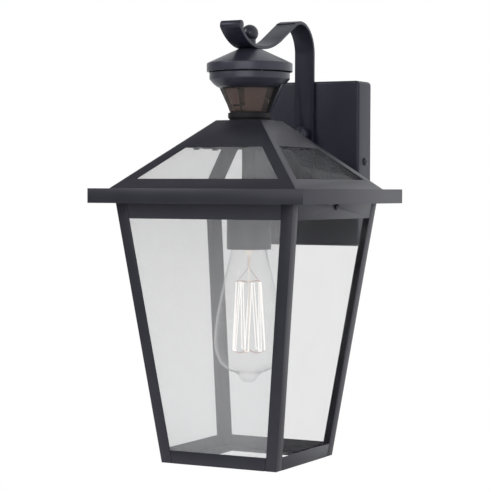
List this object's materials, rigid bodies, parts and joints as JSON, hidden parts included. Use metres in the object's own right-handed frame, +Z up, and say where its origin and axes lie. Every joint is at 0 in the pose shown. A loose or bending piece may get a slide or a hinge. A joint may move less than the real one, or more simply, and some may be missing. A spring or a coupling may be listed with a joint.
{
  "type": "outdoor wall lantern",
  "caption": "Outdoor wall lantern: tapered glazed cage under a hipped glass roof, hung by its motion sensor head from a scrolled strap arm on a wall plate, with a clear filament bulb.",
  "frame": {"origin": "on the wall plane, at the centre of the back of the wall plate and midway between the outlet box slots", "axes": "+Z up, -Y away from the wall towards the street, +X to the right for a person who faces the wall"},
  "size_m": [0.216, 0.2561, 0.4126],
  "materials": {
    "black_frame": "satin black powder coat with a fine texture",
    "foam_rubber": "matt black foam rubber",
    "zinc_steel": "zinc plated",
    "green_metal": "green dyed zinc plate",
    "black_plastic": "satin black moulded plastic",
    "smoked_lens": "smoked translucent plastic with upright lens ribs",
    "circuit_board": "green solder mask",
    "component_plastic": "moulded component cases",
    "detector_metal": "drawn metal can",
    "switch_plastic": "off-white moulded knob",
    "pane_glass": "clear flat glass",
    "white_porcelain": "white glazed porcelain",
    "brass_contact": "rolled brass",
    "bulb_clear": "clear blown glass",
    "bulb_cap_metal": "rolled screw cap",
    "filament_glow": "glowing filament strands"
  },
  "bodies": {
    "root": {"wall_plate": "black_frame", "wall_gasket": "foam_rubber", "mounting_bracket": "zinc_steel", "plate_side_screws": "black_frame", "ground_screw": "green_metal", "plate_gland": "foam_rubber", "scroll_arm": "black_frame", "arm_bolts": "zinc_steel", "arm_front_nuts": "black_frame", "arm_lock_nuts": "zinc_steel", "hanger_stud": "zinc_steel", "top_ball_finial": "black_frame", "sensor_cap": "black_plastic", "sensor_housing": "black_plastic", "sensor_base": "black_plastic", "sensor_lens": "smoked_lens", "sensor_rear_shell": "black_plastic", "sensor_gland": "foam_rubber", "sensor_board": "circuit_board", "board_components": "component_plastic", "detector_board": "circuit_board", "heat_detector": "detector_metal", "light_cell": "component_plastic", "switch_plate": "black_plastic", "roof_frame": "black_frame", "eave_rim": "black_frame", "roof_screws": "zinc_steel", "cage_screws": "black_frame", "roof_pane_front": "pane_glass", "roof_pane_right": "pane_glass", "roof_pane_back": "pane_glass", "roof_pane_left": "pane_glass", "roof_glass_clips": "black_frame", "corner_posts": "black_frame", "top_rail_front": "black_frame", "top_rail_right": "black_frame", "top_rail_back": "black_frame", "top_rail_left": "black_frame", "bottom_rail_front": "black_frame", "bottom_rail_right": "black_frame", "bottom_rail_back": "black_frame", "bottom_rail_left": "black_frame", "body_pane_front": "pane_glass", "body_pane_right": "pane_glass", "body_pane_back": "pane_glass", "body_pane_left": "pane_glass", "body_glass_clips": "black_frame", "socket_tube": "black_frame", "socket_nipple": "zinc_steel", "socket_cup": "black_frame", "lamp_holder": "white_porcelain", "screw_shell": "brass_contact", "centre_contact": "brass_contact"},
    "bulb_travel": {"bulb_tip_contact": "bulb_cap_metal"},
    "bulb": {"bulb_glass": "bulb_clear", "bulb_base": "bulb_cap_metal", "bulb_stem": "bulb_clear", "bulb_filament": "filament_glow"},
    "time_knob": {"time_switch": "switch_plastic"},
    "range_knob": {"range_switch": "switch_plastic"}
  },
  "joints": [
    {"name": "bulb_unscrew_travel", "type": "slide", "parent": "root", "child": "bulb_travel", "axis": [0, 0, -1], "range_m": [0, 0.0146]},
    {"name": "bulb_turn", "type": "hinge", "parent": "bulb_travel", "child": "bulb", "pos_m": [0, -0.1481, -0.09], "axis": [0, 0, -1], "range_deg": [0, 1440]},
    {"name": "time_slide", "type": "slide", "parent": "root", "child": "time_knob", "axis": [1, 0, 0], "range_m": [0, 0.004]},
    {"name": "range_slide", "type": "slide", "parent": "root", "child": "range_knob", "axis": [1, 0, 0], "range_m": [0, 0.004]}
  ],
  "couplings": [
    {"joint": "bulb_unscrew_travel", "follows": "bulb_turn", "m_per_rad": 0.0005777}
  ]
}
